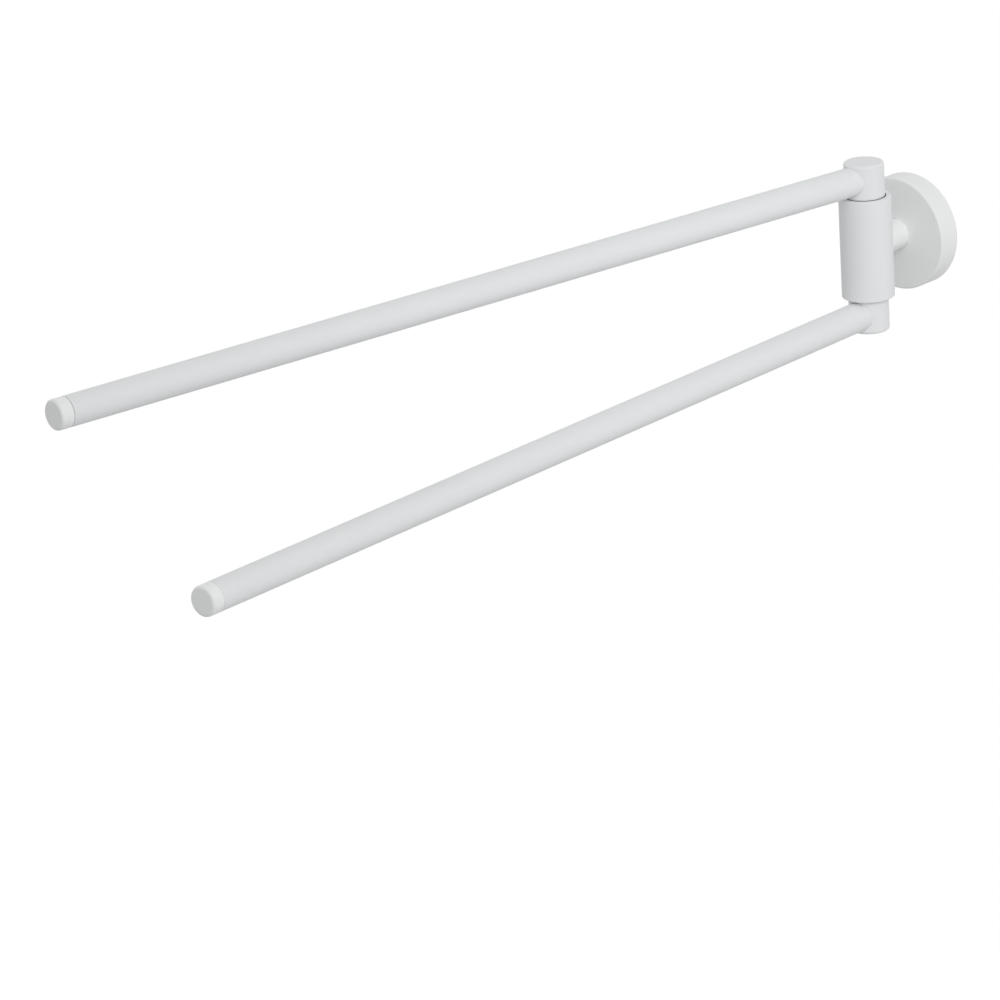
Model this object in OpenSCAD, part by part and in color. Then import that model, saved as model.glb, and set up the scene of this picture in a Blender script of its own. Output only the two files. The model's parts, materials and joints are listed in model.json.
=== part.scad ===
// Double swivel towel bar for a wall: two round arms that turn on one upright hub.
// Millimetres. The wall is the plane y = 0, +Y points into the wall and +Z points up.
// The origin is the middle of the wall plate's back, on the wall.

/* [Wall rosette] */
// Outer diameter of the rosette
rosette_d = 46.2; // [44:0.2:60]
// How far the rosette stands off the wall
rosette_h = 10.2; // [9.8:0.2:12]
// Thickness of the rosette's side wall
rosette_side = 3; // [2.4:0.2:3.6]
// Thickness of the rosette's front wall
rosette_front = 3; // [2.4:0.2:3.4]
// Radius of the rosette's front edge
rosette_edge = 0.6; // [0.3:0.1:1.2]
// Radius of the rosette's edge at the wall
rosette_back_edge = 0.4; // [0.2:0.1:0.8]

/* [Wall plate] */
// Thickness of the wall plate
plate_h = 5.6; // [5:0.2:6]
// Distance between the two wall screw holes
screw_spacing = 27; // [25:0.5:28]
// Diameter of a wall screw hole
screw_hole_d = 4.5; // [4:0.1:4.8]
// Diameter of the countersink round a wall screw hole
countersink_d = 8; // [6.5:0.5:8.5]
// Diameter of the plate's pocket for the stem bolt's head
pocket_d = 14; // [12.8:0.2:15]
// Depth of the V-groove round the plate
plate_groove_depth = 1.4; // [1:0.1:1.6]

/* [Stem] */
// Distance of the swivel axis from the wall
reach = 29.5; // [27:0.5:60]
// Diameter of the stem between the rosette and the hub
stem_d = 12.5; // [10:0.5:13]
// Depth of the seat in the rosette's face that centres the stem
stem_seat = 0.6; // [0.3:0.1:1]

/* [Swivel housing] */
// Outer diameter of the swivel housing
housing_d = 21.4; // [21:0.2:26]
// Height of the swivel housing
housing_h = 41.9; // [40:0.1:56]
// Height of the solid web in the middle of the housing
web_h = 10; // [9:0.5:12]
// Depth of the recess at each end of the housing
recess_h = 2; // [1.5:0.1:3]
// Radius of the housing's outer edges
housing_edge = 0.3; // [0.2:0.1:1.2]

/* [Bushes and springs] */
// Outer diameter of a plastic bush
bush_d = 12; // [11.5:0.1:13]
// Thickness of a bush's flange, which nearly fills the housing's recess
bush_flange_h = 1.9; // [0.8:0.1:1.9]
// Thickness of a disc spring's steel
spring_t = 0.3; // [0.2:0.05:0.4]
// Height of a disc spring
spring_h = 0.6; // [0.5:0.05:0.8]
// Diameter of the hole in a disc spring
spring_hole_d = 5; // [4:0.2:6]

/* [Arm collar] */
// Diameter of a collar, which shows above or below the housing
collar_d = 16.3; // [15.6:0.1:17]
// Height of a collar outside the housing
collar_h = 14.2; // [13.4:0.1:20]
// Radius of a collar's outer edge
collar_edge = 1.1; // [0.5:0.1:1.3]
// Diameter of the spigot that turns in the bush
spigot_d = 10; // [9.6:0.1:10.4]
// Distance of a retaining screw and its groove from the housing's recess
groove_down = 6; // [5:0.5:7]
// Width of the groove that a retaining screw runs in
groove_w = 3; // [2.9:0.1:3.4]
// Depth of the groove that a retaining screw runs in
groove_depth = 1.2; // [1:0.1:1.6]
// How far an arm swings, from one side of the wall to the other
swing = 180; // [90:5:180]
// Thickness of the rubber friction ring
friction_ring_t = 1; // [0.8:0.1:1.2]

/* [Arm tube] */
// Outer diameter of an arm tube
tube_d = 12; // [11:0.5:12.5]
// Wall thickness of an arm tube
tube_wall = 1; // [0.8:0.1:1.5]
// Length of an arm, from the swivel axis to the end cap's face
arm_length = 400; // [200:5:600]
// Length of the threaded insert in the root of a tube
insert_length = 14; // [12:1:30]

/* [End cap] */
// Length of an end cap outside its tube
cap_length = 5.4; // [3:0.1:10]
// Radius of an end cap's outer edge
cap_edge = 1.2; // [0.4:0.1:1.4]
// Width of the bevels on tube and cap on both sides of the seam between them
cap_seam = 0.15; // [0.1:0.05:0.3]
// Width of the fine open seam between a tube and its end cap
cap_gap = 0.1; // [0.05:0.05:0.2]
// Length of an end cap's plug inside its tube
plug_length = 11; // [9:1:20]
// Width of a barb on an end cap's plug
barb_w = 1.2; // [0.8:0.1:1.6]

/* [Screws] */
// Diameter of the stem bolt, M6
stem_bolt_d = 6; // [5:1:6]
// Diameter of the stem bolt's head
bolt_head_d = 10; // [9.5:0.1:10.5]
// Height of the stem bolt's head
bolt_head_h = 3.2; // [2.8:0.1:3.4]
// Thickness of the stem bolt's lock washer
washer_h = 1.4; // [1:0.1:1.6]
// Diameter of the tube studs, M5
stud_d = 5; // [4:1:5]
// Diameter of the grub screws, M4
grub_d = 4; // [4:0.5:4.5]
// Hexagon width across flats of the grub screws
grub_hex = 2; // [1.5:0.5:2]
// Hexagon width across flats of the stem bolt
bolt_hex = 4; // [4:0.5:5]
// Depth of the hexagon socket in the stem bolt's head
bolt_socket = 1.9; // [1.5:0.1:2.2]

/* [Resting pose] */
// Turn of the upper arm from straight out, anticlockwise seen from above
upper_turn = -8.5; // [-90:0.1:90]
// Turn of the lower arm from straight out, anticlockwise seen from above
lower_turn = 2.3; // [-90:0.1:90]

/* [Hidden] */
$fn = 96;
// Clearance round fixed pieces that slide together, per side
fixed_gap = 0.05;
// Clearance round pieces that turn in each other, per side
running_gap = 0.05;
// Clearance between the wall plate and the rosette that hangs on it, per side
plate_gap = 0.3;
// Clearance round a screw in a plain hole, per side
bolt_gap = 0.25;
// Open ring between a collar and the wall of the housing's recess
ring_gap = 0.5;
// Clearance between a bush's flange and the wall of the recess
flange_gap = 0.2;
// Gap between the stem bolt's head and the floor of the plate's pocket
pocket_gap = 0.5;
// Gap between a retaining screw's point and the groove's floor and ends
groove_gap = 0.15;
// How far a flat seat in a round piece goes past the depth that its rim needs
seat_spare = 0.15;
// How far a grub screw's outer end lies below the surface that it is screwed into
screw_sunk = 0.4;
// Depth of the hexagon socket in a grub screw
grub_socket = 1.6;
// Gap between a disc spring and the end of the bush round the spigot
spring_room = 0.6;
// Clearance round a disc spring's outer rim
spring_rim_gap = 1;
// Room beside a friction ring in its groove
ring_room = 0.3;
// Gap between a spigot and the shoulder behind a retaining screw's point
shoulder_gap = 0.35;
// How far a stud stops short of the end of the tube's insert
stud_short = 3;
// How far the stem bolt stops short of the end of its hole
bolt_short = 0.3;
// Chamfer at the ends of the stem bolt and the studs
thread_chamfer = 0.5;
// How far an end cap's plug runs on past its last barb
plug_tip = 1.3;
// Depth of a cut that has to pass right through a surface
past = 1;

// The wall plate and the rosette, measured out from the wall
cavity_d = rosette_d - 2 * rosette_side;
cavity_h = rosette_h - rosette_front;
plate_d = cavity_d - 2 * plate_gap;
head_front = cavity_h - washer_h;
head_back = head_front - bolt_head_h;
pocket_floor = head_back - pocket_gap;
plate_groove_y = plate_h / 2;

// The stem stands in flat-bottomed seats. The seat in the round housing is just deep
// enough for the stem's whole rim.
stem_socket_d = stem_d + 2 * fixed_gap;
stem_start = rosette_h - stem_seat;
stem_end_r = sqrt(pow(housing_d / 2, 2) - pow(stem_socket_d / 2, 2)) - seat_spare;
bolt_hole_end_r = 2.9;
bolt_end_r = bolt_hole_end_r + bolt_short;

// The housing and a bush, measured from the housing's middle along the swivel axis
housing_half = housing_h / 2;
recess_d = collar_d + 2 * ring_gap;
recess_floor = housing_half - recess_h;
web_top = web_h / 2;
bush_flange_d = recess_d - 2 * flange_gap;
bush_top = recess_floor + bush_flange_h;
bush_base = web_top + spring_h + spring_room;

// A collar, measured the same way
spigot_end = web_top + spring_h + running_gap;
collar_base = bush_top + running_gap;
collar_top = housing_half + collar_h;
arm_z = (housing_half + collar_top) / 2;
groove_z = recess_floor - groove_down;
groove_floor_r = spigot_d / 2 - groove_depth;
ring_groove_z = (groove_z - groove_w / 2 + spigot_end) / 2;
ring_groove_w = friction_ring_t + ring_room;
ring_groove_r = spigot_d / 2 - friction_ring_t;

// A retaining screw, measured out from the swivel axis. The groove is longer than the
// arm's swing by the screw's own point, so that its ends stop the arm.
point_step = 0.7;
point_d = grub_d - 2 * point_step;
point_tip_r = groove_floor_r + groove_gap;
point_root_r = spigot_d / 2 + shoulder_gap;
groove_angle = swing + 2 * asin((point_d / 2 + groove_gap) / point_tip_r);

// A tube, measured out from the swivel axis along the arm. Its seat in the round collar
// is just deep enough for the tube's whole rim.
tube_socket_d = tube_d + 2 * fixed_gap;
tube_start = sqrt(pow(collar_d / 2, 2) - pow(tube_socket_d / 2, 2)) - seat_spare;
cap_start = arm_length - cap_length;
tube_end = cap_start - cap_gap;
tube_bore_d = tube_d - 2 * tube_wall;
stud_start = -3.6;
stud_end = tube_start + insert_length - stud_short;
barbs = 3;
barb_pitch = (plug_length - plug_tip) / barbs;

upper = 1;
lower = -1;

coat_white = [0.93, 0.94, 0.95];
cap_white = [0.90, 0.91, 0.91];
steel = [0.72, 0.73, 0.75];
zinc = [0.62, 0.63, 0.65];
brass = [0.72, 0.56, 0.28];
black_plastic = [0.14, 0.14, 0.15];
rubber = [0.08, 0.08, 0.08];

// Turns its children so that their +Z points out of the wall
module out_of_wall() {
    rotate([90, 0, 0]) children();
}

// Turns its children so that their +Z points back at the wall
module to_wall() {
    rotate([-90, 0, 0]) children();
}

// Turns its children so that their +Z points down
module down() {
    rotate([180, 0, 0]) children();
}

// Pieces of the upper end of the hub, or the same turned over for the lower end
module at_hub(side) {
    translate([0, -reach, 0]) mirror([0, 0, side < 0 ? 1 : 0]) children();
}

// Pieces of the upper arm, drawn straight out and then turned, or the same turned over
module at_arm(side) {
    translate([0, -reach, 0])
        rotate([0, 0, side == upper ? upper_turn : lower_turn])
            mirror([0, 0, side < 0 ? 1 : 0]) children();
}

// Places its children along an arm: +Z runs out along the tube from the swivel axis
module along_arm() {
    translate([0, 0, arm_z]) out_of_wall() children();
}

// A straight round bar between two heights, solid or to be cut away
module rod(d, from, to) {
    translate([0, 0, from]) cylinder(d = d, h = to - from);
}

// A screw's round bar between two heights, with both ends chamfered
module threaded_rod(d, from, to) {
    r = d / 2;
    end_r = r - thread_chamfer;
    rotate_extrude() polygon([
        [0, from], [end_r, from], [r, from + thread_chamfer],
        [r, to - thread_chamfer], [end_r, to], [0, to]
    ]);
}

// A ring of square section between two heights
module ring(outer_d, inner_d, from, to) {
    difference() {
        rod(outer_d, from, to);
        rod(inner_d, from - past, to + past);
    }
}

// A hexagon socket to be cut away, with its width across the flats
module hex_socket(across, from, to) {
    translate([0, 0, from]) cylinder(d = across / cos(30), h = to - from, $fn = 6);
}

// A turned disc on z = 0 with its base edge and its top edge rounded
module rounded_disc(d, h, base_edge, top_edge) {
    r = d / 2;
    middle = h / 2;
    rotate_extrude() {
        translate([0, base_edge]) square([r, h - base_edge - top_edge]);
        square([r - base_edge, middle]);
        translate([0, middle]) square([r - top_edge, h - middle]);
        translate([r - base_edge, base_edge]) circle(base_edge);
        translate([r - top_edge, h - top_edge]) circle(top_edge);
    }
}

// The plate is screwed to the wall, and the rosette's grub screw pulls on its groove
module wall_plate() {
    countersink_h = (countersink_d - screw_hole_d) / 2;
    groove_r = plate_d / 2 - plate_groove_depth;
    groove_cut = plate_groove_depth + past;
    color(zinc) out_of_wall() difference() {
        rod(plate_d, 0, plate_h);
        rod(pocket_d, pocket_floor, plate_h + past);
        for (side = [-1, 1]) translate([side * screw_spacing / 2, 0, 0]) {
            rod(screw_hole_d, -past, plate_h + past);
            translate([0, 0, plate_h - countersink_h])
                cylinder(d1 = screw_hole_d, d2 = countersink_d, h = countersink_h);
        }
        translate([0, 0, plate_groove_y]) rotate_extrude() polygon([
            [groove_r, 0],
            [groove_r + groove_cut, groove_cut],
            [groove_r + groove_cut, -groove_cut]
        ]);
    }
}

// A cup over the wall plate, with a seat for the stem in the middle of its face
module rosette() {
    color(coat_white) difference() {
        out_of_wall() difference() {
            rounded_disc(rosette_d, rosette_h, rosette_back_edge, rosette_edge);
            rod(cavity_d, -past, cavity_h);
            rod(stem_bolt_d + 2 * bolt_gap, 0, rosette_h + past);
            rod(stem_socket_d, stem_start, rosette_h + past);
        }
        translate([0, -plate_groove_y, 0]) down()
            rod(grub_d, cavity_d / 2 - past, rosette_d / 2 + past);
    }
}

// Its blunt point presses up into the wall plate's V-groove
module rosette_grub_screw() {
    tip_d = 1.2;
    body_d = grub_d - 2 * fixed_gap;
    tip = plate_d / 2 - plate_groove_depth + tip_d / 2 + fixed_gap;
    cone_end = tip + (body_d - tip_d) / 2;
    tail = rosette_d / 2 - screw_sunk;
    color(steel) translate([0, -plate_groove_y, 0]) down() difference() {
        union() {
            translate([0, 0, tip]) cylinder(d1 = tip_d, d2 = body_d, h = cone_end - tip);
            rod(body_d, cone_end, tail);
        }
        hex_socket(grub_hex, tail - grub_socket, tail + past);
    }
}

module stem() {
    color(coat_white) out_of_wall()
        ring(stem_d, stem_bolt_d + 2 * bolt_gap, stem_start, reach - stem_end_r);
}

// It draws the rosette, the stem and the housing together, from inside the rosette
module stem_bolt() {
    color(steel) out_of_wall() difference() {
        union() {
            rod(bolt_head_d, head_back, head_front);
            threaded_rod(stem_bolt_d - 2 * fixed_gap, head_back, reach - bolt_end_r);
        }
        hex_socket(bolt_hex, head_back - past, head_back + bolt_socket);
    }
}

// A split spring washer: the slanted saw cut lets it give
module stem_lock_washer() {
    cut_w = 0.8;
    cut_slant = 12;
    color(steel) out_of_wall() difference() {
        ring(bolt_head_d, stem_bolt_d + 2 * bolt_gap, head_front, cavity_h);
        translate([0, 0, head_front]) rotate([0, cut_slant, 0])
            translate([-cut_w / 2, 0, -past]) cube([cut_w, bolt_head_d, washer_h + 2 * past]);
    }
}

// The inside of one end of the housing: recess, bush bore and the retaining screw's hole
module housing_end() {
    rod(recess_d, recess_floor, housing_half + past);
    rod(bush_d, web_top, recess_floor + past);
    translate([0, 0, groove_z]) to_wall() rod(grub_d, 0, housing_d);
}

module swivel_housing() {
    color(coat_white) translate([0, -reach, 0]) difference() {
        translate([0, 0, -housing_half])
            rounded_disc(housing_d, housing_h, housing_edge, housing_edge);
        housing_end();
        mirror([0, 0, 1]) housing_end();
        to_wall() {
            rod(stem_socket_d, stem_end_r, housing_d);
            rod(stem_bolt_d, bolt_hole_end_r, housing_d);
        }
    }
}

// The bush's flange carries the arm, and its side hole lets the retaining screw through
module bush(side) {
    color(black_plastic) at_hub(side) difference() {
        union() {
            rod(bush_flange_d, recess_floor, bush_top);
            rod(bush_d - 2 * fixed_gap, bush_base, recess_floor);
        }
        rod(spigot_d + 2 * running_gap, 0, housing_half);
        translate([0, 0, groove_z]) to_wall() rod(grub_d + 2 * bolt_gap, 0, housing_d);
    }
}

// A conical washer: its outer rim rests on the web and its inner rim meets the spigot
module disc_spring(side) {
    outer_r = bush_d / 2 - spring_rim_gap;
    inner_r = spring_hole_d / 2;
    color(steel) at_hub(side) rotate_extrude() polygon([
        [outer_r, web_top],
        [outer_r, web_top + spring_t],
        [inner_r, web_top + spring_h],
        [inner_r, web_top + spring_h - spring_t]
    ]);
}

// A grub screw whose thin round point runs in the spigot's groove and keeps the arm in
module retaining_screw(side) {
    tail = housing_d / 2 - screw_sunk;
    color(steel) at_hub(side) translate([0, 0, groove_z]) to_wall() difference() {
        union() {
            rod(point_d, point_tip_r, point_root_r);
            rod(grub_d - 2 * fixed_gap, point_root_r, tail);
        }
        hex_socket(grub_hex, tail - grub_socket, tail + past);
    }
}

// The groove lies round the side of the spigot that faces away from the tube
module retaining_groove() {
    translate([0, 0, groove_z - groove_w / 2]) rotate([0, 0, 90 - groove_angle / 2])
        rotate_extrude(angle = groove_angle)
            translate([groove_floor_r, 0]) square([spigot_d, groove_w]);
}

// The collar's spigot turns in the bush, and a stud holds the tube in the collar's side
module collar(side) {
    base_edge = 0.3;
    chamfer = 0.5;
    color(coat_white) at_arm(side) difference() {
        union() {
            translate([0, 0, collar_base])
                rounded_disc(collar_d, collar_top - collar_base, base_edge, collar_edge);
            translate([0, 0, spigot_end])
                cylinder(d1 = spigot_d - 2 * chamfer, d2 = spigot_d, h = chamfer);
            rod(spigot_d, spigot_end + chamfer, collar_base);
        }
        retaining_groove();
        ring(spigot_d + past, 2 * ring_groove_r,
             ring_groove_z - ring_groove_w / 2, ring_groove_z + ring_groove_w / 2);
        along_arm() {
            rod(tube_socket_d, tube_start, collar_d);
            rod(stud_d, stud_start, collar_d);
        }
    }
}

module friction_ring(side) {
    color(rubber) at_arm(side) translate([0, 0, ring_groove_z]) rotate_extrude()
        translate([ring_groove_r + friction_ring_t / 2, 0]) circle(friction_ring_t / 2);
}

// A headless screw from the collar into the tube's insert
module stud(side) {
    color(steel) at_arm(side) along_arm()
        threaded_rod(stud_d - 2 * fixed_gap, stud_start, stud_end);
}

module tube_insert(side) {
    color(brass) at_arm(side) along_arm()
        ring(tube_bore_d - 2 * fixed_gap, stud_d, tube_start, tube_start + insert_length);
}

module tube(side) {
    color(coat_white) at_arm(side) along_arm() rotate_extrude() polygon([
        [tube_bore_d / 2, tube_start],
        [tube_d / 2, tube_start],
        [tube_d / 2, tube_end - cap_seam],
        [tube_d / 2 - cap_seam, tube_end],
        [tube_bore_d / 2, tube_end]
    ]);
}

// The cap lies flush with the tube, and barbs on its plug grip the tube's bore
module end_cap(side) {
    barb_depth = 0.5;
    plug_d = tube_bore_d - 2 * barb_depth;
    color(cap_white) at_arm(side) along_arm() {
        translate([0, 0, cap_start]) rounded_disc(tube_d, cap_length, cap_seam, cap_edge);
        rod(plug_d, cap_start - plug_length, cap_start);
        for (i = [1 : barbs]) translate([0, 0, cap_start - i * barb_pitch])
            cylinder(d1 = plug_d, d2 = tube_bore_d - 2 * fixed_gap, h = barb_w);
    }
}

wall_plate();
rosette();
rosette_grub_screw();
stem();
stem_bolt();
stem_lock_washer();
swivel_housing();
bush(upper);  // upper_bush
disc_spring(upper);  // upper_disc_spring
retaining_screw(upper);  // upper_retaining_screw
bush(lower);  // lower_bush
disc_spring(lower);  // lower_disc_spring
retaining_screw(lower);  // lower_retaining_screw
collar(upper);  // upper_collar
friction_ring(upper);  // upper_friction_ring
stud(upper);  // upper_stud
tube_insert(upper);  // upper_tube_insert
tube(upper);  // upper_tube
end_cap(upper);  // upper_end_cap
collar(lower);  // lower_collar
friction_ring(lower);  // lower_friction_ring
stud(lower);  // lower_stud
tube_insert(lower);  // lower_tube_insert
tube(lower);  // lower_tube
end_cap(lower);  // lower_end_cap
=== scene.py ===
# %% [markdown]
# # A double towel bar in satin white
#
# This lesson dresses a swivel towel bar for a bathroom wall. A round rosette sits on
# the wall, a short stem carries an upright hub, and two straight arms turn on the hub,
# one above it and one below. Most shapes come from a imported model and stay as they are.
# Only the tubes are turned rounder, and the screws get real threads. Blender adds what a
# shape can't say: how a coat of powder scatters light, how a moulded cap differs from
# the steel beside it, and how a photographer lights a white object so that it doesn't
# vanish into a white room.
#
# All lengths are metres. +Y points into the wall, +Z up, and the origin is on the wall.

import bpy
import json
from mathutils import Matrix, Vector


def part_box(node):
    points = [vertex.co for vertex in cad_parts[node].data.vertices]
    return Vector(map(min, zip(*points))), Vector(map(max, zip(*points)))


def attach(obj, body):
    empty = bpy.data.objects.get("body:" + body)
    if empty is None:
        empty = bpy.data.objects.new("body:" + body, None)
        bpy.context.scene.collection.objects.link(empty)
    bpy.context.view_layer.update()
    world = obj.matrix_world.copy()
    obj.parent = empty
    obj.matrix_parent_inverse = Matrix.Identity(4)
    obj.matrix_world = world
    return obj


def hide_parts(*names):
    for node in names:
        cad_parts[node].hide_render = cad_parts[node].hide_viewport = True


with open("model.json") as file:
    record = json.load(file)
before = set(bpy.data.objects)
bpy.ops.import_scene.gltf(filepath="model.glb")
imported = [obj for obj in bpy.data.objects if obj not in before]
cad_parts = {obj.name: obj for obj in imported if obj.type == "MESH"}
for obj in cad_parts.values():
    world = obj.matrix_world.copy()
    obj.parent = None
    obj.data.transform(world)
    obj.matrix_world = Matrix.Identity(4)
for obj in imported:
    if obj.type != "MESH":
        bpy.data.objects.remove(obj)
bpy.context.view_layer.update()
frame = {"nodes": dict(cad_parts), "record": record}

# %% Bring in Blender and some arithmetic
import json
from math import ceil, cos, radians, sin, tan, tau

import bmesh
import bpy
from mathutils import Matrix, Vector

scene = bpy.context.scene

# %% [markdown]
# ## Where the hub stands
#
# The arms turn about the axis of the round housing, so every distance in this file
# starts there. It could be typed in, but a number that is measured from the model
# stays right when the model changes. The middle of the housing's box is that point.

# %% Measure the hub
def middle(node):
    """Return the centre of a piece's box."""
    low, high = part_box(node)
    return (low + high) / 2


hub = middle("swivel_housing")
print("hub:", [round(value, 4) for value in hub])

# %% [markdown]
# ## The camera
#
# The photograph was taken from the right of the bar and a little above it, with a long
# lens that keeps the two arms almost parallel. Turning a camera by eye until it looks
# right wastes an afternoon. It is quicker to say where it stands as seen from the hub:
# how far round, how far up, how far away, and how far the aim lies beside the hub. The
# lens alone is given in millimetres, as lenses are.

# %% Directions as a photographer gives them
def direction(azimuth, elevation):
    """Return the way from the hub to a place round it. Azimuth 0 is in front of the wall."""
    turn, rise = radians(azimuth), radians(elevation)
    return Vector((sin(turn) * cos(rise), -cos(turn) * cos(rise), sin(rise)))


# %% Stand the camera there
camera_azimuth, camera_elevation, camera_tilt = 43.23, 18.92, -3.21
camera_distance = 2.723
aim_right, aim_up = -0.1472, -0.1022
camera_lens = 244.15

back = direction(camera_azimuth, camera_elevation)
level_right = Vector((cos(radians(camera_azimuth)), sin(radians(camera_azimuth)), 0))
level_up = back.cross(level_right)
tilt = radians(camera_tilt)
right = level_right * cos(tilt) + level_up * sin(tilt)
up = level_up * cos(tilt) - level_right * sin(tilt)

camera = bpy.data.objects.new("camera", bpy.data.cameras.new("camera"))
scene.collection.objects.link(camera)
facing = Matrix((right, up, back)).transposed()
place = hub + back * camera_distance + right * aim_right + up * aim_up
camera.matrix_world = Matrix.Translation(place) @ facing.to_4x4()
camera.data.lens = camera_lens
scene.camera = camera
print("camera:", [round(value, 3) for value in place])

# %% [markdown]
# ## Starting a finish
#
# Every finish here is a Principled shader with something uneven fed into it. One value
# for colour or gloss over a whole piece is what makes a picture look like plastic
# toys. A little helper starts each finish, and the patterns below are added to it one
# by one, so that each finish reads like a recipe.

# %% A finish and its shader
def start_finish(name, metallic=0.0):
    """Return a new material, its node tree and its Principled shader."""
    finish = bpy.data.materials.new(name)
    finish.use_nodes = True
    tree = finish.node_tree
    shader = tree.nodes["Principled BSDF"]
    shader.inputs["Metallic"].default_value = metallic
    return finish, tree, shader


# %% [markdown]
# ## Patterns at their real size
#
# A noise texture's scale is a bare number that says nothing about size. Here a pattern
# is asked for by the size of its blotches in metres, because that is what can be
# measured on a real coat: its ripples are a millimetre or two across. The texture runs
# through the object's own coordinates, so it needs no unwrapping and never stretches.

# %% Cloudy patterns
def clouds(tree, blotch, detail=2):
    """Return an uneven grey pattern with blotches of about that size."""
    where = tree.nodes.new("ShaderNodeTexCoord")
    noise = tree.nodes.new("ShaderNodeTexNoise")
    noise.inputs["Scale"].default_value = 1 / blotch
    noise.inputs["Detail"].default_value = detail
    tree.links.new(where.outputs["Object"], noise.inputs["Vector"])
    return noise.outputs["Fac"]


# %% Rings as a lathe leaves them
def lathe_rings(tree, pitch):
    """Return rings round the line through the origin that runs into the wall."""
    wave_length_at_scale_one = 0.314
    where = tree.nodes.new("ShaderNodeTexCoord")
    wave = tree.nodes.new("ShaderNodeTexWave")
    wave.wave_type = "RINGS"
    wave.rings_direction = "Y"
    wave.inputs["Scale"].default_value = wave_length_at_scale_one / pitch
    wave.inputs["Distortion"].default_value = 0.6
    wave.inputs["Detail"].default_value = 2
    tree.links.new(where.outputs["Object"], wave.inputs["Vector"])
    return wave.outputs["Fac"]


# %% Feed a pattern into colour, gloss or relief
def tint(tree, shader, pattern, one, other):
    """Let the colour drift between two that are close together."""
    mix = tree.nodes.new("ShaderNodeMix")
    mix.data_type = "RGBA"
    mix.inputs["A"].default_value = (*one, 1)
    mix.inputs["B"].default_value = (*other, 1)
    tree.links.new(pattern, mix.inputs["Factor"])
    tree.links.new(mix.outputs["Result"], shader.inputs["Base Color"])


def gloss(tree, shader, pattern, smooth, rough):
    """Let the roughness wander between two values."""
    seldom_below, seldom_above = 0.3, 0.7
    spread = tree.nodes.new("ShaderNodeMapRange")
    spread.inputs["From Min"].default_value = seldom_below
    spread.inputs["From Max"].default_value = seldom_above
    spread.inputs["To Min"].default_value = smooth
    spread.inputs["To Max"].default_value = rough
    tree.links.new(pattern, spread.inputs["Value"])
    tree.links.new(spread.outputs["Result"], shader.inputs["Roughness"])


def relief(tree, shader, *layers):
    """Raise the surface by each pattern's height in metres, one on top of another."""
    below = None
    for pattern, height in layers:
        bump = tree.nodes.new("ShaderNodeBump")
        bump.inputs["Strength"].default_value = 1
        bump.inputs["Distance"].default_value = height
        tree.links.new(pattern, bump.inputs["Height"])
        if below:
            tree.links.new(below, bump.inputs["Normal"])
        below = bump.outputs["Normal"]
    tree.links.new(below, shader.inputs["Normal"])


# %% [markdown]
# ## The satin powder coat
#
# Powder is sprayed on dry and baked until it flows. It never flows quite flat: the
# skin keeps shallow ripples a millimetre or two across, which makers call orange peel,
# and a satin powder adds a fine tooth that breaks up reflections. So there are two
# layers of relief, a few thousandths of a millimetre high. The white itself drifts by
# a hair where the coat lies thicker.
#
# The rosette and its stem get the same coat painted a shade lighter and warmer than the
# hub and the arms. This is painted light, standing in for light thrown back from the wall
# round them. The recipe is one, so the two whites go into it.

# %% Make the powder coat
def satin_powder_coat(name, thin, thick):
    weak_mirror = 0.3
    finish, tree, shader = start_finish(name)
    shader.inputs["Specular IOR Level"].default_value = weak_mirror
    tint(tree, shader, clouds(tree, 0.03), thin, thick)
    gloss(tree, shader, clouds(tree, 0.0008, detail=3), 0.5, 0.62)
    orange_peel = clouds(tree, 0.0018)
    tooth = clouds(tree, 0.00025, detail=3)
    relief(tree, shader, (orange_peel, 0.000006), (tooth, 0.0000015))
    return finish


# %% [markdown]
# ## The moulded caps
#
# The caps in the tube ends are injection moulded, dyed through and not coated. Plastic
# takes its skin from the mould, here an even spark-eroded matt without ripples, and it
# is a shade whiter than the coat beside it.

# %% Make the cap plastic
def moulded_cap_plastic():
    finish, tree, shader = start_finish("moulded_cap_plastic")
    tint(tree, shader, clouds(tree, 0.006), (0.878, 0.888, 0.888), (0.894, 0.904, 0.902))
    gloss(tree, shader, clouds(tree, 0.0006, detail=3), 0.5, 0.6)
    relief(tree, shader, (clouds(tree, 0.0003, detail=3), 0.000003))
    return finish


# %% [markdown]
# ## The turned wall plate
#
# The plate behind the rosette is steel, faced on a lathe and zinc plated. The tool
# leaves fine rings about the middle, and the thin zinc over them is a little blue and
# cloudy. Rings in the relief do what a stretched noise can't: they stay round.

# %% Make the zinc plating
def turned_zinc_plate():
    finish, tree, shader = start_finish("turned_zinc_plate", metallic=1.0)
    tint(tree, shader, clouds(tree, 0.008, detail=4), (0.40, 0.42, 0.46), (0.52, 0.53, 0.55))
    gloss(tree, shader, clouds(tree, 0.002, detail=4), 0.3, 0.46)
    rings = lathe_rings(tree, pitch=0.0008)
    relief(tree, shader, (rings, 0.000012), (clouds(tree, 0.0004), 0.000002))
    return finish


# %% [markdown]
# ## The screws and the washer
#
# Small stainless screws are rolled and tumbled in bulk. They come out evenly grey, a
# little brighter on the high spots, with tiny dents all over from knocking together.

# %% Make the screw steel
def tumbled_screw_steel():
    finish, tree, shader = start_finish("tumbled_screw_steel", metallic=1.0)
    tint(tree, shader, clouds(tree, 0.003, detail=4), (0.54, 0.55, 0.57), (0.64, 0.65, 0.66))
    gloss(tree, shader, clouds(tree, 0.0007, detail=4), 0.26, 0.42)
    relief(tree, shader, (clouds(tree, 0.0005, detail=4), 0.000004))
    return finish


# %% [markdown]
# ## The disc springs
#
# Spring steel is stamped from hard strip and tempered. The heat leaves a darker skin
# that clouds from grey to a faint straw colour.

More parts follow.
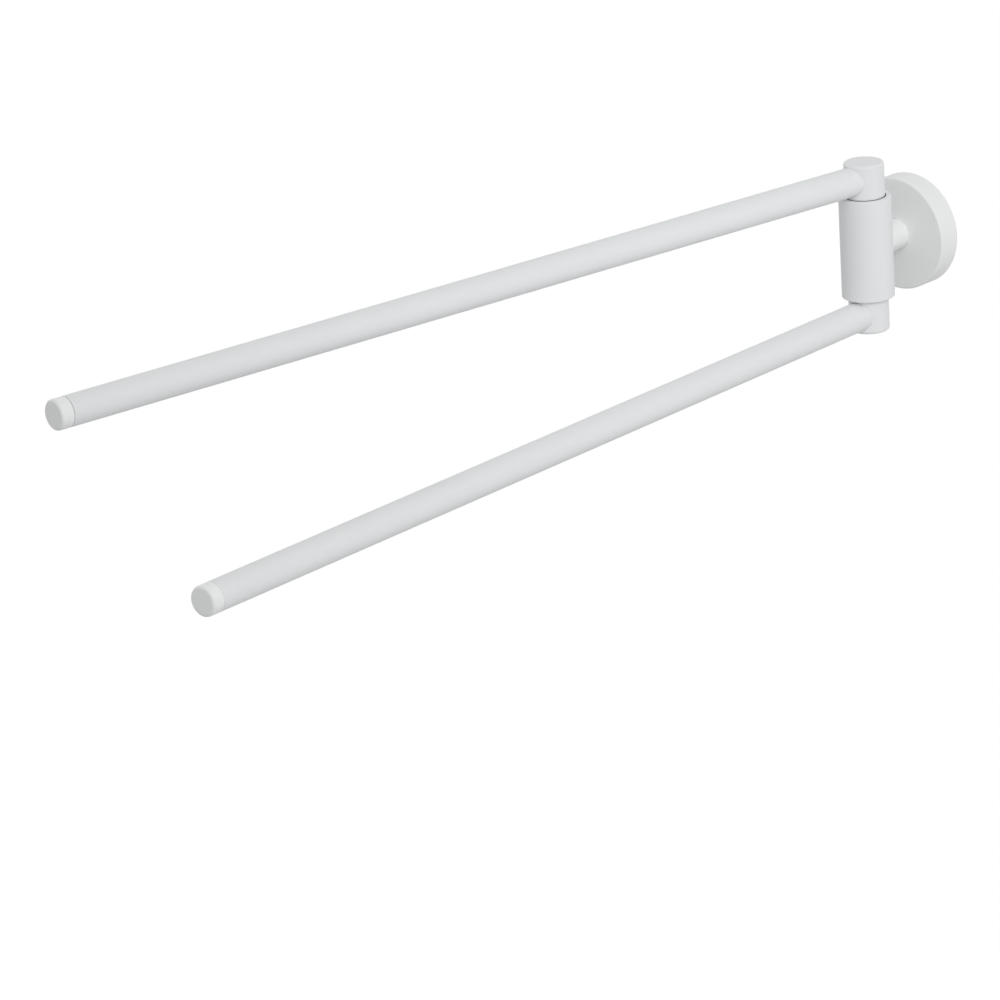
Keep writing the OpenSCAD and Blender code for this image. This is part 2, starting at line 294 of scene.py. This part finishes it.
# %% Make the spring steel
def tempered_spring_steel():
    finish, tree, shader = start_finish("tempered_spring_steel", metallic=1.0)
    tint(tree, shader, clouds(tree, 0.004, detail=3), (0.46, 0.47, 0.5), (0.56, 0.54, 0.5))
    gloss(tree, shader, clouds(tree, 0.001, detail=3), 0.32, 0.46)
    relief(tree, shader, (clouds(tree, 0.0004, detail=3), 0.000002))
    return finish


# %% [markdown]
# ## The brass inserts
#
# The threaded inserts in the roots of the tubes are brass bar, turned to a close fit.
# Fresh brass is yellow and bright, and it dulls unevenly where it was handled.

# %% Make the brass
def turned_brass():
    finish, tree, shader = start_finish("turned_brass", metallic=1.0)
    tint(tree, shader, clouds(tree, 0.005, detail=4), (0.7, 0.53, 0.25), (0.77, 0.61, 0.33))
    gloss(tree, shader, clouds(tree, 0.0009, detail=3), 0.24, 0.4)
    relief(tree, shader, (clouds(tree, 0.0004, detail=4), 0.000003))
    return finish


# %% [markdown]
# ## The black bushes and the painted shade of the gap
#
# The bushes that the arms turn in are black acetal, a slippery plastic. Their flanges
# fill the ring between collar and housing, and their black draws the fine dark line round
# each collar. That line is painted shade, standing in for the shadow down in that gap.
# Plastic that is this dark shows itself only by its skin, which is satin with faint flow
# clouds from the mould, so the gloss does more here than the colour.

# %% Make the acetal
# The black is partly the acetal's own colour and partly painted shade for the gap round each collar.
def gap_shade_acetal():
    finish, tree, shader = start_finish("gap_shade_acetal")
    tint(tree, shader, clouds(tree, 0.003, detail=3), (0.022, 0.022, 0.024), (0.04, 0.04, 0.043))
    gloss(tree, shader, clouds(tree, 0.001, detail=3), 0.42, 0.58)
    relief(tree, shader, (clouds(tree, 0.0005, detail=3), 0.000003))
    return finish


# %% [markdown]
# ## The rubber rings
#
# The friction rings are black nitrile rubber. Their skin is dull, with a bloom of
# paler dust in patches, which keeps black from reading as a hole.

# %% Make the rubber
def black_nitrile():
    finish, tree, shader = start_finish("black_nitrile")
    tint(tree, shader, clouds(tree, 0.002, detail=4), (0.018, 0.018, 0.018), (0.042, 0.042, 0.041))
    gloss(tree, shader, clouds(tree, 0.0008, detail=4), 0.6, 0.8)
    relief(tree, shader, (clouds(tree, 0.0003, detail=3), 0.000004))
    return finish


# %% [markdown]
# ## Dressing the pieces
#
# The model's record names a material slot for each piece, so the finishes go on slot
# by slot. That is safer than a list of pieces, which goes stale when one is added. Only
# the two pieces that get the painted lighter white are named.

# %% Put the finishes on
arm_white = satin_powder_coat("arm_white", (0.800, 0.816, 0.823), (0.818, 0.834, 0.840))
# The second white is the same coat painted a shade lighter, as painted light on the rosette and
# stem.
rosette_lit_white = satin_powder_coat("rosette_lit_white", (0.849, 0.860, 0.859), (0.867, 0.878, 0.877))
finishes = {
    "coat": arm_white,
    "cap_plastic": moulded_cap_plastic(),
    "wall_plate": turned_zinc_plate(),
    "screw_steel": tumbled_screw_steel(),
    "spring_steel": tempered_spring_steel(),
    "insert_brass": turned_brass(),
    # The bushes' black doubles as painted shade for the gap round each collar.
    "bush_plastic": gap_shade_acetal(),
    "ring_rubber": black_nitrile(),
}

# The rosette and the stem take the painted lighter white.
for subpart in frame["record"]["subparts"]:
    node = subpart["node"]
    finish = rosette_lit_white if node in ("rosette", "stem") else finishes[subpart["material_slot"]]
    piece = frame["nodes"][node]
    piece.data.materials.clear()
    piece.data.materials.append(finish)
    print(node, "gets", finish.name)

# %% [markdown]
# ## Working on a copy
#
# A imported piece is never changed, but a new piece may stand in its place. Such a piece
# starts from a copy, whose surfaces lie side by side without being joined. Measuring and
# cutting need one closed skin that looks outward all over, so the copy is welded first.

# %% Weld a mesh shut
hair = 0.000001


def welded_mesh(name, corners, faces):
    """Make a mesh, join corners that lie on each other and turn all the faces outward."""
    mesh = bpy.data.meshes.new(name)
    mesh.from_pydata(corners, [], faces)
    work = bmesh.new()
    work.from_mesh(mesh)
    bmesh.ops.remove_doubles(work, verts=work.verts, dist=hair)
    bmesh.ops.recalc_face_normals(work, faces=work.faces)
    work.to_mesh(mesh)
    work.free()
    return mesh


def welded_copy(node):
    """Return the mesh of a piece again, as one closed skin."""
    rough = frame["nodes"][node].data
    corners = [corner.co for corner in rough.vertices]
    return welded_mesh(node, corners, [face.vertices[:] for face in rough.polygons])


# %% Put a new piece in the place of an old one
body_of = {}
for body, nodes in frame["record"]["behaviour"]["bodies"].items():
    for node in nodes:
        body_of[node] = body


def stand_for(piece, node):
    """Shade a new piece, give it the finish of the old one, and let it move as that did."""
    sharp_from = 35
    piece.data.shade_smooth()
    piece.data.set_sharp_from_angle(angle=radians(sharp_from))
    piece.data.materials.clear()
    piece.data.materials.append(frame["nodes"][node].active_material)
    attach(piece, body_of[node])
    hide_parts(node)
    print(piece.name, "stands for", node, "with", len(piece.data.polygons), "faces")


# %% [markdown]
# ## Rounder tubes
#
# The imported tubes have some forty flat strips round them, enough to measure by, but the
# strips show as stripes in a close view of a satin surface. Smoothing can't add
# roundness, and a subdivision modifier would soften the crisp ends. A tube is quickly
# turned anew: its outline, a long thin box with a bevel at the cap's end, is read from
# the old tube's two ends and spun round its axis.
#
# The upper cap isn't pushed home quite as far as the lower one, as it goes with plugs
# that are tapped in by hand, so a fine dark seam shows there. The tube is turned a
# little shorter for it, and the end of the arm stays where it is.

# %% Go round an axis, and close the skin from one outline to the next
def spoke(axis, angle):
    """Return the direction that stands square on an axis at this angle round it."""
    across = axis.orthogonal().normalized()
    return across * cos(angle) + axis.cross(across) * sin(angle)


def band(here, there, count):
    """Return the faces between two outlines, given the number of the first corner of each."""
    faces = []
    for point in range(count):
        following = (point + 1) % count
        faces.append((here + point, here + following, there + following, there + point))
    return faces


# %% Spin an outline round an axis
def turned(outline, start, axis, sides=160):
    """Return the closed mesh of an outline of distances along an axis and radii round it."""
    count = len(outline)
    corners, faces = [], []
    for side in range(sides):
        outward = spoke(axis, tau * side / sides)
        corners += [start + axis * along + outward * radius for along, radius in outline]
        faces += band(side * count, (side + 1) % sides * count, count)
    return welded_mesh("turned", corners, faces)


# %% Turn the two tubes
def level_way(node):
    """Return the level direction from the hub to the middle of a piece."""
    way = middle(node) - hub
    way.z = 0
    return way.normalized()


def round_tube(node, seam_wider_by=0):
    """Put a finely turned tube in the place of the model's."""
    corners = [corner.co.copy() for corner in welded_copy(node).vertices]
    way = level_way(node)
    near = min(corner.dot(way) for corner in corners)
    far = max(corner.dot(way) for corner in corners)
    slack = 0.0001
    root = [corner for corner in corners if corner.dot(way) < near + slack]
    tip = [corner for corner in corners if corner.dot(way) > far - slack]
    root_middle = sum(root, Vector()) / len(root)
    tip_middle = sum(tip, Vector()) / len(tip)
    axis = (tip_middle - root_middle).normalized()
    length = (tip_middle - root_middle).length - seam_wider_by
    outer = max((corner - root_middle).length for corner in root)
    bore = min((corner - root_middle).length for corner in root)
    rim = max((corner - tip_middle).length for corner in tip)
    outline = [(0, bore), (0, outer), (length - (outer - rim), outer), (length, rim), (length, bore)]
    tube = bpy.data.objects.new(f"{node}_turned", turned(outline, root_middle, axis))
    scene.collection.objects.link(tube)
    stand_for(tube, node)
    print(node, [round(size * 1000, 2) for size in (outer, bore, rim, length)], "mm")


round_tube("upper_tube", seam_wider_by=0.00015)
round_tube("lower_tube")

# %% [markdown]
# ## Real threads
#
# The model's screws are plain bars, because a fit is easier to check on a smooth bar.
# A thread could be faked with a bump texture, but then its outline stays straight. Here
# it is cut as on a lathe: a pointed tool winds round the screw and takes out a groove,
# and the head, the socket and the chamfers stay. First comes the tool's point. The two
# sides of a metric groove stand at 60 degrees, and its floor is an eighth of the pitch
# to either side. The tool stands a little proud, so that it cuts the skin cleanly.

# %% Grind the point of the tool
def tool_point(pitch):
    """Return the four corners of the tool's point: how far out, and how far along."""
    depth = 0.541 * pitch
    proud = 0.08 * pitch
    floor_half = pitch / 8
    side_slope = radians(30)
    mouth_half = floor_half + (depth + proud) * tan(side_slope)
    return [(-depth, -floor_half), (proud, -mouth_half), (proud, mouth_half), (-depth, floor_half)]


# %% Wind the tool round a screw
def wound_tool(start, axis, length, pitch, radius):
    """Return a closed mesh of the tool's way round a screw, which starts clear of its skin."""
    steps_per_turn = 32
    steps = ceil(length / pitch * steps_per_turn)
    point = tool_point(pitch)
    count = len(point)
    depth = -point[0][0]
    corners = []
    for step in range(steps + 1):
        turns = step / steps_per_turn
        outward = spoke(axis, tau * turns)
        lift = depth * max(0, 1 - 2 * turns)
        for out, along in point:
            corners.append(start + outward * (radius + out + lift) + axis * (turns * pitch + along))
    faces = [range(count), range(steps * count, (steps + 1) * count)]
    for step in range(steps):
        faces += band(step * count, (step + 1) * count, count)
    return welded_mesh("wound_tool", corners, faces)


# %% [markdown]
# The screw's axis points from the head or the socket to the far end, and the far half of
# the bar tells its radius. A bolt keeps a plain part under its head, where the tool
# comes in over half a turn. A Boolean modifier then takes the wound tool away. It leaves
# a few slivers without any width where tool and bar nearly touch, and these are swept
# off, so that the screw is a clean closed skin again.

# %% Sweep off slivers
def sweep(mesh):
    """Cut all faces into triangles and take out those that have no width."""
    work = bmesh.new()
    work.from_mesh(mesh)
    bmesh.ops.remove_doubles(work, verts=work.verts, dist=hair)
    bmesh.ops.triangulate(work, faces=work.faces)
    bmesh.ops.dissolve_degenerate(work, edges=work.edges, dist=hair)
    bmesh.ops.triangulate(work, faces=work.faces)
    work.to_mesh(mesh)
    work.free()


# %% Take the tool's way out of a screw
def take_away(piece, groove):
    """Cut a mesh out of a piece and leave no tool behind."""
    tool = bpy.data.objects.new("tool", groove)
    scene.collection.objects.link(tool)
    cut = piece.modifiers.new("cut", "BOOLEAN")
    cut.operation = "DIFFERENCE"
    cut.object = tool
    graph = bpy.context.evaluated_depsgraph_get()
    piece.data = bpy.data.meshes.new_from_object(piece.evaluated_get(graph))
    piece.modifiers.clear()
    bpy.data.objects.remove(tool)
    sweep(piece.data)


# %% Cut a thread into a screw
def cut_thread(node, axis, pitch, plain_part=0):
    """Put a threaded screw in the place of a plain bar of the model."""
    bar = welded_copy(node)
    centre = middle(node)
    ways = [corner.co - centre for corner in bar.vertices]
    along = [way.dot(axis) for way in ways]
    radius = max((way - axis * far).length for way, far in zip(ways, along) if far > 0)
    start = min(along) + plain_part if plain_part else min(along) - pitch
    length = max(along) + pitch - start
    screw = bpy.data.objects.new(f"{node}_threaded", bar)
    scene.collection.objects.link(screw)
    take_away(screw, wound_tool(centre + axis * start, axis, length, pitch, radius))
    stand_for(screw, node)


# %% [markdown]
# The pitches are those of the common metric sizes: 0.7 mm on an M4 grub screw, 0.8 mm
# on an M5 stud and 1 mm on the M6 bolt, which has a head of 3.2 mm and 2 mm of plain
# shank under it. A stud lies along its arm.

# %% Cut all the threads
from_wall = Vector((0, -1, 0))
upward = Vector((0, 0, 1))
pitch_m4, pitch_m5, pitch_m6 = 0.0007, 0.0008, 0.001
bolt_head, plain_shank = 0.0032, 0.002

cut_thread("stem_bolt", from_wall, pitch_m6, plain_part=bolt_head + plain_shank)
cut_thread("rosette_grub_screw", upward, pitch_m4)
for side in ("upper", "lower"):
    cut_thread(f"{side}_retaining_screw", from_wall, pitch_m4)
    cut_thread(f"{side}_stud", level_way(f"{side}_tube"), pitch_m5)

# %% [markdown]
# ## A room that is white to look at
#
# The background of a catalogue picture is pure white, yet the bar must not be lit from
# every side, or its round shapes go flat. A Light Path node solves this. Rays from the
# camera, and mirror and glass rays, see white. Rays that light the bar see a dimmer
# room. The same trick is used for the floor, which still takes the bar's shadow.

# %% Tell the looking rays from the lighting rays
def looking_rays(tree):
    """Return 1 for rays from the camera, from gloss and through glass, and 0 for others."""
    path = tree.nodes.new("ShaderNodeLightPath")
    seen = path.outputs["Is Camera Ray"]
    for kind in ("Is Glossy Ray", "Is Transmission Ray"):
        either = tree.nodes.new("ShaderNodeMath")
        either.operation = "MAXIMUM"
        tree.links.new(seen, either.inputs[0])
        tree.links.new(path.outputs[kind], either.inputs[1])
        seen = either.outputs["Value"]
    return seen


def choose_by_ray(tree, for_lighting, for_looking):
    """Return a shader that is one for the lighting rays and another for the looking rays."""
    choose = tree.nodes.new("ShaderNodeMixShader")
    tree.links.new(looking_rays(tree), choose.inputs["Fac"])
    tree.links.new(for_lighting, choose.inputs[1])
    tree.links.new(for_looking, choose.inputs[2])
    return choose.outputs["Shader"]


# %% Paint the room
white = (1, 1, 1, 1)
room_light = 0.5

world = bpy.data.worlds.new("white_room")
world.use_nodes = True
scene.world = world
tree = world.node_tree
dim = tree.nodes["Background"]
dim.inputs["Color"].default_value = white
dim.inputs["Strength"].default_value = room_light
bright = tree.nodes.new("ShaderNodeBackground")
bright.inputs["Color"].default_value = white
bright.inputs["Strength"].default_value = 1
room = choose_by_ray(tree, dim.outputs["Background"], bright.outputs["Background"])
tree.links.new(room, tree.nodes["World Output"].inputs["Surface"])
print(world.name, "looks white and lights with", room_light)

# %% [markdown]
# ## The floor
#
# A towel bar hangs on a wall and never meets the floor. So the floor is a large pale
# sheet three metres down, low enough for a camera that looks up at the bar from below.
# It glows for the looking rays, just enough that it reads white with the room's own
# light on it, and its plain pale surface takes the shadow.

# %% Lay the floor
floor_drop = 3
floor_half = 20

floor_mesh = bpy.data.meshes.new("floor")
signs = ((-1, -1), (1, -1), (1, 1), (-1, 1))
corners = [(x * floor_half, y * floor_half, hub.z - floor_drop) for x, y in signs]
floor_mesh.from_pydata(corners, [], [(0, 1, 2, 3)])
floor = bpy.data.objects.new("floor", floor_mesh)
scene.collection.objects.link(floor)
print("floor:", floor_drop, "m below the hub and", 2 * floor_half, "m wide")

# %% Paint the floor
floor_grey = 0.8
floor_glow = 0.61

floor_finish = bpy.data.materials.new("pale_floor")
floor_finish.use_nodes = True
tree = floor_finish.node_tree
tree.nodes.remove(tree.nodes["Principled BSDF"])
matt = tree.nodes.new("ShaderNodeBsdfDiffuse")
matt.inputs["Color"].default_value = (floor_grey, floor_grey, floor_grey, 1)
glow = tree.nodes.new("ShaderNodeEmission")
glow.inputs["Color"].default_value = white
glow.inputs["Strength"].default_value = floor_glow
dark = tree.nodes.new("ShaderNodeEmission")
dark.inputs["Strength"].default_value = 0
shine = choose_by_ray(tree, dark.outputs["Emission"], glow.outputs["Emission"])
both = tree.nodes.new("ShaderNodeAddShader")
tree.links.new(matt.outputs["BSDF"], both.inputs[0])
tree.links.new(shine, both.inputs[1])
tree.links.new(both.outputs["Shader"], tree.nodes["Material Output"].inputs["Surface"])
floor_mesh.materials.append(floor_finish)
print(floor_finish.name, "glows with", floor_glow, "for the looking rays")

# %% [markdown]
# ## The lamps
#
# In the photograph the right side of each round piece is the brightest and the left
# side the darkest, with no hard edge anywhere, and the hub is a little brighter than
# the far ends of the arms. That is a strong soft lamp beside the camera, two weaker ones
# low on the right and on the left, and a spot on the hub alone. One more soft lamp hangs
# behind. The camera hardly sees its light, but who walks round the bar does. Each lamp
# is given in a photographer's way: how far round it hangs, how far up and how strong it
# is. All hang at the same distance from the hub.

# %% Hang a lamp
lamp_distance = 2


def hang(lamp, azimuth, elevation):
    """Hang a lamp round the hub and aim it at the hub."""
    holder = bpy.data.objects.new(lamp.name, lamp)
    scene.collection.objects.link(holder)
    way = direction(azimuth, elevation)
    aim = way.to_track_quat("Z", "Y").to_matrix().to_4x4()
    holder.matrix_world = Matrix.Translation(hub + way * lamp_distance) @ aim
    holder.visible_camera = False
    print(lamp.name, lamp.type.lower(), "lamp:", lamp.energy, "W")


# %% A square softbox
softbox_size = 1.4


def softbox(name, azimuth, elevation, watts):
    """Hang a square soft lamp."""
    lamp = bpy.data.lights.new(name, "AREA")
    lamp.size = softbox_size
    lamp.energy = watts
    hang(lamp, azimuth, elevation)


# %% A spot with a soft edge
def spotlight(name, azimuth, elevation, watts, radius, cone):
    """Hang a round lamp whose beam fades out towards the edge of its cone."""
    lamp = bpy.data.lights.new(name, "SPOT")
    lamp.shadow_soft_size = radius
    lamp.energy = watts
    lamp.spot_size = radians(cone)
    lamp.spot_blend = 1
    hang(lamp, azimuth, elevation)


# %% Light the bar
softbox("beside_camera", azimuth=60, elevation=30, watts=11.7)
softbox("low_right", azimuth=120, elevation=-30, watts=5.0)
softbox("left", azimuth=-90, elevation=30, watts=5.9)
softbox("behind", azimuth=190, elevation=10, watts=5.0)
spotlight("hub_spot", azimuth=60, elevation=30, watts=31.8, radius=0.3, cone=26)

# %% [markdown]
# ## Colours as written
#
# The Standard view shows a colour as it is set, without the film-like curve that greys
# whites. A white object needs that.

# %% Set the view
scene.view_settings.view_transform = "Standard"
print("view:", scene.view_settings.view_transform)
